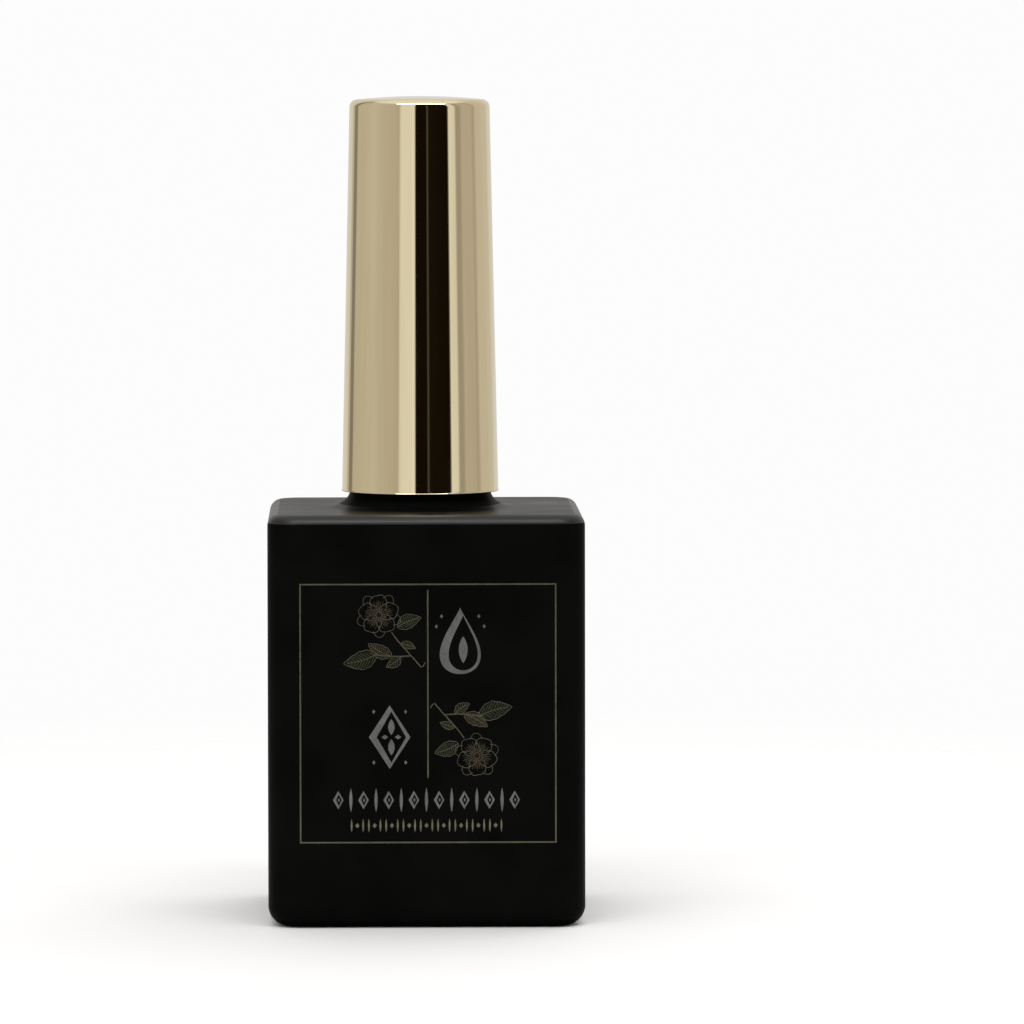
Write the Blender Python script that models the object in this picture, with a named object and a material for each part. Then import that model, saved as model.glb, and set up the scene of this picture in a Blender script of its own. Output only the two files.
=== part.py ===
"""Nail polish bottle: coated glass bottle, gel, mixing balls and a brush cap.

Metres, +Z up, front towards -Y. The origin is the centre of the flat base.
"""

import math

import bmesh
import bpy
from mathutils import Matrix, Vector

MM = 0.001

# Bottle body: a rounded rectangle in plan
WIDTH = 30.0
DEPTH = 28.0
BODY_H = 39.0
PLAN_R = 3.0
BASE_R = 1.9
SHOULDER_R = 0.9
BASE_REST_INSET = 4.4
BASE_PUSH_UP = 0.8
BASE_RING_R = 1.6

# Bottle cavity
WALL = 2.4
FLOOR_Z = 4.0
FLOOR_R = 2.6
CAVITY_TOP_Z = 35.6
CAVITY_PLAN_R = 3.6
CAVITY_SHOULDER_R = 3.0

# Neck, which stands slightly to the left of the body's middle
NECK_X = -0.45
BOSS_R = 6.75
BOSS_FLARE = 1.55
BOSS_TOP_Z = 41.6
NECK_R = 5.35
BORE_R = 3.6
RIM_Z = 51.4
RIM_ROUND = 0.45

# Thread, one start: the pitch is also the lead
PITCH = 2.117
THREAD_Z = 45.2
THREAD_TURNS = 1.5
THREAD_HEIGHT = 0.7
THREAD_FOOT = 1.05
THREAD_CREST = 0.45
THREAD_STEPS = 36

# Overcap: a tapered metal shell
CAP_Z = 40.5
CAP_TOP_Z = 78.3
CAP_R = 7.5
CAP_TOP_R = 6.7
CAP_EDGE_R = 0.75
CAP_DOME = 0.3
SHELL = 0.45

# Inner cap: a threaded plastic closure with a ribbed post
INNER_Z = 42.4
INNER_R = 6.72
INNER_TOP_Z = 75.6
CEILING_Z = 52.9
CEILING_THICK = 1.8
CAVITY_R = 6.2
INNER_THREAD_R = 5.52
POST_R = 4.6
POST_TOP_R = 4.3
POST_WALL = 1.1
SOCKET_R = 1.75
SOCKET_WALL = 1.0
SOCKET_TOP_Z = 61.5
RIB_COUNT = 6
RIB_THICK = 0.9
RIB_OUT = 6.7
RIB_TOP_OUT = 6.05

# Liner
LINER_R = 5.9
LINER_HOLE_R = 3.35
LINER_Z = 51.55
LINER_THICK = 1.15

# Brush
COLLAR_R = 3.15
COLLAR_Z = 51.2
COLLAR_TOP_Z = 52.75
STUB_R = 1.62
STUB_TOP_Z = 60.4
STEM_R = 1.5
STEM_END_R = 1.3
STEM_END_Z = 20.0
STEM_HOLE_R = 1.0
STEM_HOLE_TOP_Z = 23.4
TUFT_TIP_Z = 6.2
TUFT_R = 1.35
TUFT_ROOT_R = 0.92
TUFT_ROOT_TOP_Z = 23.2
STAPLE_W = 1.6
STAPLE_THICK = 0.24
STAPLE_LOW_Z = 22.3
STAPLE_TOP_Z = 23.3
STAPLE_GAP = 0.08

# Contents
GEL_GAP = 0.12
GEL_TOP_Z = 30.6
GEL_CHANNEL_R = 2.0
GEL_CHANNEL_Z = 5.2
BALL_R = 2.2
BALL_SPOTS = ((7.0, 4.6), (-5.8, -5.2))
BALL_GAP = 0.15
BALL_LIFT = 0.06

ROUND = 64
CORNER = 11

LACQUER = (0.012, 0.012, 0.012)
GEL_BLUE = (0.01, 0.03, 0.12)
STEEL = (0.6, 0.6, 0.6)
GOLD = (0.75, 0.62, 0.38)
WHITE = (0.85, 0.85, 0.83)
BRISTLE = (0.05, 0.05, 0.05)


def clear():
    """Removes every object."""
    for obj in list(bpy.data.objects):
        bpy.data.objects.remove(obj)


def material(name, color, metallic=0.0, roughness=0.5):
    """Makes a Principled material."""
    made = bpy.data.materials.new(name)
    made.use_nodes = True
    shader = made.node_tree.nodes["Principled BSDF"]
    shader.inputs["Base Color"].default_value = (*color, 1.0)
    shader.inputs["Metallic"].default_value = metallic
    shader.inputs["Roughness"].default_value = roughness
    return made


def add_object(name, mesh, made):
    """Links a mesh as an object, in millimetres until `to_metres`."""
    obj = bpy.data.objects.new(name, mesh)
    bpy.context.scene.collection.objects.link(obj)
    if made:
        mesh.materials.append(made)
    return obj


def mesh_of(name, verts, faces):
    """Makes a mesh with its normals facing out."""
    mesh = bpy.data.meshes.new(name)
    mesh.from_pydata(verts, [], faces)
    bm = bmesh.new()
    bm.from_mesh(mesh)
    bmesh.ops.recalc_face_normals(bm, faces=bm.faces)
    bm.to_mesh(mesh)
    bm.free()
    return mesh


def circle(radius, z, count=ROUND, center=(0.0, 0.0)):
    """Points of a level circle, from +X."""
    ring = []
    for i in range(count):
        angle = 2.0 * math.pi * i / count
        x = center[0] + radius * math.cos(angle)
        y = center[1] + radius * math.sin(angle)
        ring.append((x, y, z))
    return ring


def rounded_rectangle(inset, z, radius=PLAN_R, width=WIDTH, depth=DEPTH):
    """Points of a level rounded rectangle, starting at the middle of +X."""
    r = max(radius - inset, 0.3)
    half_x = width / 2.0 - inset
    half_y = depth / 2.0 - inset
    ring = [(half_x, 0.0, z)]
    corners = ((1, 1, 0), (-1, 1, 90), (-1, -1, 180), (1, -1, 270))
    middles = ((0.0, half_y), (-half_x, 0.0), (0.0, -half_y))
    for index, (side_x, side_y, start) in enumerate(corners):
        for step in range(CORNER):
            angle = math.radians(start + 90.0 * step / (CORNER - 1))
            x = side_x * (half_x - r) + r * math.cos(angle)
            y = side_y * (half_y - r) + r * math.sin(angle)
            ring.append((x, y, z))
        if index < len(middles):
            ring.append((*middles[index], z))
    return ring


def ring_like(ring, radius, z):
    """A circle with one point on the same ray as each point of a ring."""
    points = []
    for x, y, _ in ring:
        angle = math.atan2(y, x)
        points.append((radius * math.cos(angle), radius * math.sin(angle), z))
    return points


def neck_circle(ring, radius, z):
    """A circle about the neck's axis with as many points as a ring has."""
    return circle(radius, z, len(ring), (NECK_X, 0.0))


def loft(name, rings, closed=False):
    """Skins level rings of one count, capped at both ends or made a loop."""
    verts = [point for ring in rings for point in ring]
    count = len(rings[0])
    faces = []
    pairs = len(rings) if closed else len(rings) - 1
    for k in range(pairs):
        low = k * count
        high = ((k + 1) % len(rings)) * count
        for i in range(count):
            j = (i + 1) % count
            faces.append((low + i, low + j, high + j, high + i))
    if not closed:
        faces.append(tuple(range(count)))
        faces.append(tuple(range(len(verts) - count, len(verts))))
    return mesh_of(name, verts, faces)


def revolved(name, profile, closed=False, count=ROUND, center=(0.0, 0.0)):
    """Turns a profile of (radius, z) about Z."""
    return loft(name, [circle(r, z, count, center) for r, z in profile], closed)


def arc(cx, cz, radius, start, end, steps):
    """Points (x, z) on an arc, angles in degrees."""
    points = []
    for i in range(steps + 1):
        angle = math.radians(start + (end - start) * i / steps)
        points.append((cx + radius * math.cos(angle), cz + radius * math.sin(angle)))
    return points


def body_outside():
    """Rings of the bottle's outside, from under the base to the boss."""
    rings = []
    low = rounded_rectangle(0.0, 0.0)
    rings.append(ring_like(low, 1.0, BASE_PUSH_UP))
    for step, share in ((3.2, 0.95), (1.8, 0.78), (0.9, 0.4), (0.0, 0.0)):
        inset = BASE_REST_INSET + step
        rings.append(rounded_rectangle(inset, BASE_PUSH_UP * share, inset + BASE_RING_R))
    for x, z in arc(0.0, BASE_R, BASE_R, 270.0, 360.0, 6):
        rings.append(rounded_rectangle(BASE_R - x, z))
    shoulder = arc(0.0, BODY_H - SHOULDER_R, SHOULDER_R, 0.0, 90.0, 6)
    for x, z in shoulder:
        rings.append(rounded_rectangle(SHOULDER_R - x, z))
    return rings


def boss_profile():
    """The neck's outside, from its flare on the shoulder to the rim."""
    flare = arc(BOSS_R + BOSS_FLARE, BODY_H + BOSS_FLARE, BOSS_FLARE, 270.0, 180.0, 8)
    profile = [(x, z + 0.01) for x, z in flare if z < BOSS_TOP_Z - 0.5]
    profile.append((BOSS_R, BOSS_TOP_Z - 0.35))
    profile.append((BOSS_R - 0.35, BOSS_TOP_Z))
    profile.append((NECK_R + 0.4, BOSS_TOP_Z))
    profile.append((NECK_R, BOSS_TOP_Z + 0.4))
    profile.append((NECK_R, RIM_Z - RIM_ROUND))
    lip = arc(NECK_R - RIM_ROUND, RIM_Z - RIM_ROUND, RIM_ROUND, 30.0, 90.0, 3)
    profile.extend(lip)
    profile.extend(arc(BORE_R + RIM_ROUND, RIM_Z - RIM_ROUND, RIM_ROUND, 90.0, 180.0, 4))
    return profile


def cavity_ring(inset, z):
    """A ring of the bottle's cavity."""
    wide = WIDTH - 2.0 * WALL
    deep = DEPTH - 2.0 * WALL
    return rounded_rectangle(inset, z, CAVITY_PLAN_R, wide, deep)


def cavity_rings():
    """Rings of the cavity, from under the bore down to the floor."""
    rings = []
    low = cavity_ring(0.0, 0.0)
    rings.append(neck_circle(low, BORE_R, CAVITY_TOP_Z + 1.2))
    rings.append(neck_circle(low, BORE_R + 0.35, CAVITY_TOP_Z + 0.35))
    rings.append(neck_circle(low, BORE_R + 1.2, CAVITY_TOP_Z))
    roof = arc(0.0, CAVITY_TOP_Z - CAVITY_SHOULDER_R, CAVITY_SHOULDER_R, 90.0, 0.0, 5)
    for x, z in roof:
        rings.append(cavity_ring(CAVITY_SHOULDER_R - x, z))
    for x, z in arc(0.0, FLOOR_Z + FLOOR_R, FLOOR_R, 0.0, -90.0, 5):
        rings.append(cavity_ring(FLOOR_R - x, z))
    return rings


def thread_ridge(name, wall_r, height, steps_turn, low_z, turns, foot, crest):
    """A helical ridge with faded ends; a negative height points inwards."""
    sink = -0.25 if height > 0 else 0.25
    count = int(turns * steps_turn)
    fade = steps_turn // 4
    rings = []
    for i in range(count + 1):
        angle = 2.0 * math.pi * i / steps_turn
        z = low_z + PITCH * i / steps_turn
        rise = min(1.0, (i + 0.5) / fade, (count - i + 0.5) / fade)
        top_r = wall_r + height * rise
        foot_r = wall_r + sink
        section = (
            (foot_r, z - foot / 2.0),
            (top_r, z - crest / 2.0),
            (top_r, z + crest / 2.0),
            (foot_r, z + foot / 2.0),
        )
        rings.append([(r * math.cos(angle), r * math.sin(angle), h) for r, h in section])
    return add_object(name, loft(name, rings), None)


def join_boolean(target, other, operation):
    """Applies a Boolean to the target and removes the other object."""
    modifier = target.modifiers.new("cut", "BOOLEAN")
    modifier.solver = "EXACT"
    modifier.operation = operation
    modifier.object = other
    graph = bpy.context.evaluated_depsgraph_get()
    made = bpy.data.meshes.new_from_object(target.evaluated_get(graph))
    slots = list(target.data.materials)
    target.modifiers.clear()
    target.data = made
    made.materials.clear()
    for slot in slots:
        made.materials.append(slot)
    bpy.data.objects.remove(other)


def onto_neck(obj):
    """Moves an object built about Z onto the neck's axis."""
    obj.data.transform(Matrix.Translation((NECK_X, 0.0, 0.0)))


def make_bottle():
    """The glass bottle with its neck, thread, cavity and pushed-up base."""
    outside = body_outside()
    low = outside[0]
    neck = boss_profile()
    rings = outside
    rings.append(neck_circle(low, neck[0][0], neck[0][1]))
    rings.extend(neck_circle(low, r, z) for r, z in neck[1:])
    rings.extend(cavity_rings())
    black = material("black_lacquer", LACQUER, 0.0, 0.4)
    bottle = add_object("glass_bottle", loft("glass_bottle", rings), black)
    ridge = thread_ridge(
        "ridge", NECK_R, THREAD_HEIGHT, THREAD_STEPS, THREAD_Z, THREAD_TURNS,
        THREAD_FOOT, THREAD_CREST,
    )
    onto_neck(ridge)
    join_boolean(bottle, ridge, "UNION")
    return bottle


def shell_radius(z):
    """The overcap's outer radius at a height."""
    share = (z - CAP_Z) / (CAP_TOP_Z - CAP_Z)
    return CAP_R + (CAP_TOP_R - CAP_R) * share


def overcap_profile():
    """The shell's section, from the middle of its top round to its inside."""
    edge_z = CAP_TOP_Z - CAP_DOME - CAP_EDGE_R
    edge_r = shell_radius(edge_z) - CAP_EDGE_R
    outer = [(shell_radius(CAP_Z) - 0.16, CAP_Z), (shell_radius(CAP_Z), CAP_Z + 0.16)]
    outer.extend(arc(edge_r, edge_z, CAP_EDGE_R, 0.0, 84.0, 6))
    top_r, top_z = outer[-1]
    for share in (0.66, 0.33, 0.02):
        z = CAP_TOP_Z - (CAP_TOP_Z - top_z) * share * share
        outer.append((top_r * share, z))
    inner = [
        (shell_radius(CAP_Z) - SHELL + 0.1, CAP_Z),
        (shell_radius(CAP_Z + 0.4) - SHELL, CAP_Z + 0.4),
        (edge_r + 0.25, edge_z),
        (edge_r - 0.2, CAP_TOP_Z - CAP_DOME - SHELL),
        (0.12, CAP_TOP_Z - SHELL),
    ]
    return list(reversed(outer)) + inner


def make_overcap():
    """The metal shell, open at the bottom, with a rounded lip."""
    gold = material("gold_shell", GOLD, 1.0, 0.12)
    return add_object("overcap", revolved("overcap", overcap_profile()), gold)


def inner_cap_profile():
    """The closure's section: skirt, ceiling, and a post with a deep well."""
    ceiling_top = CEILING_Z + CEILING_THICK
    return [
        (SOCKET_R, CEILING_Z - 0.02),
        (CAVITY_R - 0.3, CEILING_Z),
        (CAVITY_R, CEILING_Z - 0.3),
        (CAVITY_R, INNER_Z + 0.5),
        (CAVITY_R + 0.12, INNER_Z),
        (INNER_R - 0.1, INNER_Z),
        (INNER_R, INNER_Z + 0.4),
        (INNER_R - 0.12, ceiling_top - 0.4),
        (INNER_R - 0.4, ceiling_top),
        (POST_R, ceiling_top + 0.02),
        (POST_TOP_R, INNER_TOP_Z),
        (POST_TOP_R - POST_WALL, INNER_TOP_Z),
        (POST_R - POST_WALL, ceiling_top + 0.4),
        (POST_R - POST_WALL - 0.4, ceiling_top),
        (SOCKET_R + SOCKET_WALL, ceiling_top + 0.02),
        (SOCKET_R + SOCKET_WALL - 0.05, SOCKET_TOP_Z),
        (SOCKET_R, SOCKET_TOP_Z),
    ]


def add_box(name, low, high):
    """A box between two corners."""
    bm = bmesh.new()
    bmesh.ops.create_cube(bm, size=1.0)
    size = [b - a for a, b in zip(low, high)]
    middle = [(a + b) / 2.0 for a, b in zip(low, high)]
    bmesh.ops.scale(bm, vec=size, verts=bm.verts)
    bmesh.ops.translate(bm, vec=middle, verts=bm.verts)
    mesh = bpy.data.meshes.new(name)
    bm.to_mesh(mesh)
    bm.free()
    return add_object(name, mesh, None)


def rib(index):
    """One upright rib between the post and the overcap."""
    low_z = CEILING_Z + CEILING_THICK - 0.3
    half = RIB_THICK / 2.0
    corners = (
        (POST_R - 0.5, low_z),
        (RIB_OUT - 0.12, low_z),
        (RIB_TOP_OUT, INNER_TOP_Z - 0.8),
        (RIB_TOP_OUT - 0.6, INNER_TOP_Z - 0.2),
        (POST_TOP_R - 0.5, INNER_TOP_Z - 0.2),
    )
    front = [(x, -half, z) for x, z in corners]
    back = [(x, half, z) for x, z in corners]
    mesh = loft("rib", [front, back])
    obj = add_object("rib", mesh, None)
    angle = 2.0 * math.pi * (index + 0.5) / RIB_COUNT
    mesh.transform(Matrix.Rotation(angle, 4, "Z"))
    return obj


def make_inner_cap():
    """The plastic closure with its thread and ribs."""
    white = material("cap_plastic", WHITE, 0.0, 0.45)
    mesh = revolved("inner_cap", inner_cap_profile(), closed=True)
    cap = add_object("inner_cap", mesh, white)
    ridge = thread_ridge(
        "ridge", CAVITY_R, INNER_THREAD_R - CAVITY_R, THREAD_STEPS,
        THREAD_Z - PITCH * 0.5 - 0.06, THREAD_TURNS, THREAD_FOOT, THREAD_CREST,
    )
    join_boolean(cap, ridge, "UNION")
    for index in range(RIB_COUNT):
        join_boolean(cap, rib(index), "UNION")
    return cap


def make_liner():
    """The sealing washer between the rim and the closure's ceiling."""
    high = LINER_Z + LINER_THICK
    profile = [
        (LINER_HOLE_R, LINER_Z),
        (LINER_R - 0.1, LINER_Z),
        (LINER_R, LINER_Z + 0.1),
        (LINER_R, high - 0.1),
        (LINER_R - 0.1, high),
        (LINER_HOLE_R, high),
    ]
    foam = material("liner_foam", WHITE, 0.0, 0.8)
    return add_object("cap_liner", revolved("cap_liner", profile, closed=True), foam)


def make_stem():
    """The brush rod: a stub, a collar and a tapered rod with a blind hole."""
    profile = [
        (0.05, STEM_HOLE_TOP_Z + 0.3),
        (STEM_HOLE_R, STEM_HOLE_TOP_Z),
        (STEM_HOLE_R, STEM_END_Z + 0.3),
        (STEM_HOLE_R + 0.08, STEM_END_Z),
        (STEM_END_R - 0.05, STEM_END_Z),
        (STEM_END_R, STEM_END_Z + 0.1),
        (STEM_R, COLLAR_Z - 1.6),
        (STEM_R + 0.9, COLLAR_Z - 0.6),
        (COLLAR_R - 0.25, COLLAR_Z - 0.05),
        (COLLAR_R, COLLAR_Z + 0.2),
        (COLLAR_R, COLLAR_TOP_Z - 0.15),
        (COLLAR_R - 0.15, COLLAR_TOP_Z),
        (STUB_R, COLLAR_TOP_Z + 0.01),
        (STUB_R, STUB_TOP_Z - 0.5),
        (STUB_R - 0.35, STUB_TOP_Z),
        (0.05, STUB_TOP_Z + 0.01),
    ]
    white = material("stem_plastic", WHITE, 0.0, 0.4)
    return add_object("brush_stem", revolved("brush_stem", profile, count=40), white)


def make_tuft():
    """The bundle of bristles, drawn as one solid, with a fold at its root."""
    profile = [
        (0.05, TUFT_TIP_Z),
        (0.5, TUFT_TIP_Z + 0.12),
        (0.95, TUFT_TIP_Z + 0.55),
        (1.25, TUFT_TIP_Z + 1.5),
        (TUFT_R, TUFT_TIP_Z + 3.4),
        (TUFT_R - 0.05, TUFT_TIP_Z + 7.5),
        (TUFT_ROOT_R + 0.2, STEM_END_Z - 0.9),
        (TUFT_ROOT_R, STEM_END_Z - 0.15),
        (TUFT_ROOT_R, TUFT_ROOT_TOP_Z - 0.2),
        (TUFT_ROOT_R - 0.2, TUFT_ROOT_TOP_Z),
        (0.05, TUFT_ROOT_TOP_Z + 0.01),
    ]
    dark = material("bristles", BRISTLE, 0.0, 0.6)
    tuft = add_object("bristle_tuft", revolved("bristle_tuft", profile, count=32), dark)
    half_w = STAPLE_W / 2.0 + 0.6
    half_t = STAPLE_THICK / 2.0 + STAPLE_GAP
    low = (-half_w, -half_t, STAPLE_LOW_Z - STAPLE_GAP)
    high = (half_w, half_t, TUFT_ROOT_TOP_Z + 1.0)
    join_boolean(tuft, add_box("fold", low, high), "DIFFERENCE")
    return tuft


def make_staple():
    """The flat metal anchor that the bristles fold round."""
    half_w = STAPLE_W / 2.0
    half_t = STAPLE_THICK / 2.0
    staple = add_box(
        "tuft_staple",
        (-half_w, -half_t, STAPLE_LOW_Z),
        (half_w, half_t, STAPLE_TOP_Z),
    )
    staple.data.materials.append(material("staple_brass", GOLD, 1.0, 0.3))
    return staple


def ball_height():
    """The height of a ball's centre above the base."""
    return FLOOR_Z + BALL_R + BALL_LIFT


def sphere_mesh(name, radius, center, segments=24, rings=14):
    """A ball."""
    bm = bmesh.new()
    bmesh.ops.create_uvsphere(
        bm, u_segments=segments, v_segments=rings, radius=radius
    )
    bmesh.ops.translate(bm, vec=center, verts=bm.verts)
    mesh = bpy.data.meshes.new(name)
    bm.to_mesh(mesh)
    bm.free()
    return mesh


def make_balls():
    """The loose steel mixing balls on the cavity's floor."""
    steel = material("ball_steel", STEEL, 1.0, 0.2)
    for index, (x, y) in enumerate(BALL_SPOTS):
        name = f"mixing_ball_{index + 1}"
        mesh = sphere_mesh(name, BALL_R, (x, y, ball_height()))
        add_object(name, mesh, steel)


def gel_rings():
    """Rings of the gel's outside, from its underside to its level."""
    rings = []
    low_z = FLOOR_Z + GEL_GAP
    for x, z in arc(0.0, low_z + FLOOR_R, FLOOR_R, 270.0, 360.0, 5):
        rings.append(cavity_ring(GEL_GAP + FLOOR_R - x, z))
    rings.append(cavity_ring(GEL_GAP, GEL_TOP_Z))
    return rings


def make_gel():
    """The gel, with a channel for the brush and a pocket for each ball."""
    blue = material("gel_blue", GEL_BLUE, 0.0, 0.1)
    gel = add_object("gel_polish", loft("gel_polish", gel_rings()), blue)
    channel = revolved(
        "channel",
        [
            (0.4, GEL_CHANNEL_Z),
            (GEL_CHANNEL_R - 0.3, GEL_CHANNEL_Z + 0.3),
            (GEL_CHANNEL_R, GEL_CHANNEL_Z + 1.2),
            (GEL_CHANNEL_R, GEL_TOP_Z + 2.0),
        ],
        count=40,
        center=(NECK_X, 0.0),
    )
    join_boolean(gel, add_object("channel", channel, None), "DIFFERENCE")
    for x, y in BALL_SPOTS:
        r = BALL_R + BALL_GAP
        top = arc(0.0, ball_height(), r, 0.0, 85.0, 6)
        profile = [(r, FLOOR_Z - 1.0)] + top
        pocket = revolved("pocket", profile, count=24, center=(x, y))
        join_boolean(gel, add_object("pocket", pocket, None), "DIFFERENCE")
    return gel


def to_metres():
    """Scales every mesh from millimetres to metres and smooths it."""
    for obj in bpy.context.scene.objects:
        obj.data.transform(Matrix.Diagonal(Vector((MM, MM, MM, 1.0))))
        smooth = obj.name not in {"tuft_staple"}
        for face in obj.data.polygons:
            face.use_smooth = smooth


def build():
    """Builds every piece."""
    clear()
    make_bottle()
    make_gel()
    make_balls()
    pieces = [make_overcap(), make_inner_cap(), make_liner()]
    pieces += [make_stem(), make_tuft(), make_staple()]
    for piece in pieces:
        onto_neck(piece)
    to_metres()


build()
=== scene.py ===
"""Nail polish bottle: the looks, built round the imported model.

Lengths are millimetres until `make` turns them into metres. The stage, the
lights and the camera are in metres. +Z is up and the decorated front faces -Y.
"""

import math
import random
import bmesh
import bpy
from mathutils import Matrix, Vector


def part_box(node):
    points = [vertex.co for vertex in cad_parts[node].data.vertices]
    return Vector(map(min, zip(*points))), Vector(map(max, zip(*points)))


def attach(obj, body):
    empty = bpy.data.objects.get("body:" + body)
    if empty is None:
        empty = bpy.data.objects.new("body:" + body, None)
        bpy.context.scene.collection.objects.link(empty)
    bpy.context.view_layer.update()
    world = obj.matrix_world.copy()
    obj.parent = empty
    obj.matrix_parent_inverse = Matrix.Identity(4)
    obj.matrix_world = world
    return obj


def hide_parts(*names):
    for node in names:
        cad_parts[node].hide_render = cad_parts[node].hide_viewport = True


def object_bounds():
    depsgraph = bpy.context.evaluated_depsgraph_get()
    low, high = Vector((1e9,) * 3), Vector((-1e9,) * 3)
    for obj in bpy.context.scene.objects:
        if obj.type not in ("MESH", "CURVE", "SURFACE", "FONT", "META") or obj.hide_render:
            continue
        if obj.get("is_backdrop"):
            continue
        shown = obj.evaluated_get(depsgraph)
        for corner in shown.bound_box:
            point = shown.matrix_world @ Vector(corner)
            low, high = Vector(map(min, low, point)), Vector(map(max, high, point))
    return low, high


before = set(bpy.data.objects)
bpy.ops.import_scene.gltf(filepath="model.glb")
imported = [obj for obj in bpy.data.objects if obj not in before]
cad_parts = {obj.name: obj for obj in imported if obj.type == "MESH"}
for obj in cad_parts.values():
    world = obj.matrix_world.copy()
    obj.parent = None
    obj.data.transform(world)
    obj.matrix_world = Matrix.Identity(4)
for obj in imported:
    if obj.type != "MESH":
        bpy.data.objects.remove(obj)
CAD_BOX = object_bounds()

MM = 0.001
RNG = random.Random(7)

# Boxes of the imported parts, and sizes read from them
GLASS_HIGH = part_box("glass_bottle")[1] / MM
GEL_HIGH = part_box("gel_polish")[1] / MM
SHELL_LOW, SHELL_HIGH = (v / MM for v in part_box("overcap"))
TUFT_LOW, TUFT_HIGH = (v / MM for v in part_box("bristle_tuft"))
STEM_LOW, STEM_HIGH = (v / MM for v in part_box("brush_stem"))
LINER_LOW, LINER_HIGH = (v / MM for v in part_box("cap_liner"))
INNER_LOW, INNER_HIGH = (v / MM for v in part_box("inner_cap"))
HALF_X = GLASS_HIGH.x
HALF_Y = GLASS_HIGH.y
NECK_X = (SHELL_LOW.x + SHELL_HIGH.x) / 2.0
FRONT_Y = -HALF_Y

# Bottle body
BODY_H = 39.0
PLAN_R = 3.0
BASE_R = 1.9
SHOULDER_R = 1.15
REST_INSET = 4.4
PUSH_UP = 0.8
REST_R = 1.6
WALL = 2.4
FLOOR_Z = 4.0
FLOOR_R = 2.6
CAVITY_TOP = 35.6
CAVITY_PLAN_R = 3.6
CAVITY_R = 3.0
GEL_GAP = 0.1

# Neck
BOSS_R = 6.75
FLARE_H = 1.55
FLARE_W = 2.35
BOSS_TOP = 41.6
BOSS_EDGE_R = 0.35
NECK_R = 5.35
NECK_ROOT_R = 0.4
BORE_R = 3.6
RIM_Z = GLASS_HIGH.z
RIM_EDGE_R = 0.45
PITCH = 2.117
THREAD_Z = 45.2
THREAD_TURNS = 1.5
THREAD_HEIGHT = 0.7
THREAD_FOOT = 1.05
THREAD_CREST = 0.5
THREAD_PLAY = 0.06
CAP_THREAD_HEIGHT = 0.68

# Cap
CAP_Z = SHELL_LOW.z
CAP_TOP = SHELL_HIGH.z
CAP_R = (SHELL_HIGH.x - SHELL_LOW.x) / 2.0
CAP_TOP_R = 6.7
CAP_EDGE_R = 0.75
CAP_DOME = 0.3
SHELL = 0.45
SKIRT_R = 6.2
SKIRT_OUT = 6.72
KNURLS = 48
CEILING_Z = 52.9
WELL_R = 1.75
WELL_TOP = 61.5
RIBS = 6
LINER_R = (LINER_HIGH.x - LINER_LOW.x) / 2.0
LINER_HOLE_R = 3.35

# Brush; a filament is a tube with five sides, at these angles in radians
SOCKET_R = 1.0
SOCKET_TOP = 23.4
ROD_TIP_R = 1.3
ROD_TOP_R = 1.5
STUB_R = 1.62
COLLAR_R = 3.15
COLLAR_LOW = 49.6
COLLAR_TOP = 52.75
BRISTLES = 340
GOLDEN_ANGLE = 2.39996
FILAMENT_SIDES = (0.0, 1.2566, 2.5133, 3.7699, 5.0265)
FILAMENT_R = 0.045
FILAMENT_TIP_R = 0.03
TUFT_GEL_TOP = 19.9

# Points round a turned ring, and round the brush's rings
ROUND = 192
BRUSH_ROUND = 96

# The bottle's coats, by material index. The foot's coat is painted shade: a darker,
# duller copy of the lacquer over a share of the base's curve, where it meets the floor.
# The edge's coat covers a share of the shoulder's.
WALL_COAT, NECK_COAT, SHOULDER_COAT, EDGE_COAT, SHADED_FOOT_COAT = range(5)
SHADED_FOOT_SHARE = 0.4
EDGE_SHARE = 0.74


# ---------------------------------------------------------------- mesh tools


def turned_ring(section, count=ROUND):
    """Points about the neck's axis; section(angle) gives a radius and a height."""
    ring = []
    for i in range(count):
        angle = 2.0 * math.pi * i / count
        radius, z = section(angle)
        ring.append((NECK_X + radius * math.cos(angle), radius * math.sin(angle), z))
    return ring


def polar(middle, reach, angle):
    """The point at a distance and an angle in radians from the middle."""
    return middle[0] + reach * math.cos(angle), middle[1] + reach * math.sin(angle)


def circle(radius, z, count=ROUND):
    """Points of a level circle about the neck's axis."""
    return turned_ring(lambda angle: (radius, z), count)


def rounded(half_x, half_y, radius, z, corner=30):
    """Points of a level rounded rectangle from the middle of its +X side."""
    r = max(radius, 0.05)
    ring = [(half_x, 0.0, z)]
    sides = ((1, 1, 0), (-1, 1, 90), (-1, -1, 180), (1, -1, 270))
    middles = ((0.0, half_y), (-half_x, 0.0), (0.0, -half_y))
    for index, (side_x, side_y, start) in enumerate(sides):
        for step in range(corner + 1):
            angle = math.radians(start + 90.0 * step / corner)
            x = side_x * (half_x - r) + r * math.cos(angle)
            y = side_y * (half_y - r) + r * math.sin(angle)
            ring.append((x, y, z))
        if index < len(middles):
            ring.append((*middles[index], z))
    return ring


def arc(cx, cz, radius, start, end, steps):
    """Points (r, z) on an arc, angles in degrees."""
    points = []
    for i in range(steps + 1):
        angle = math.radians(start + (end - start) * i / steps)
        points.append((cx + radius * math.cos(angle), cz + radius * math.sin(angle)))
    return points


def loft(rings, closed=False):
    """Vertices and faces of a skin through rings of one count."""
    verts = [point for ring in rings for point in ring]
    count = len(rings[0])
    faces = []
    for k in range(len(rings) if closed else len(rings) - 1):
        low = k * count
        high = ((k + 1) % len(rings)) * count
        for i in range(count):
            j = (i + 1) % count
            faces.append((low + i, low + j, high + j, high + i))
    if not closed:
        faces.append(tuple(range(count)))
        faces.append(tuple(range(len(verts) - count, len(verts))))
    return verts, faces


def joined(parts):
    """Several (verts, faces) as one."""
    verts = []
    faces = []
    for more_verts, more_faces in parts:
        base = len(verts)
        verts.extend(more_verts)
        faces.extend(tuple(i + base for i in face) for face in more_faces)
    return verts, faces


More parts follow.
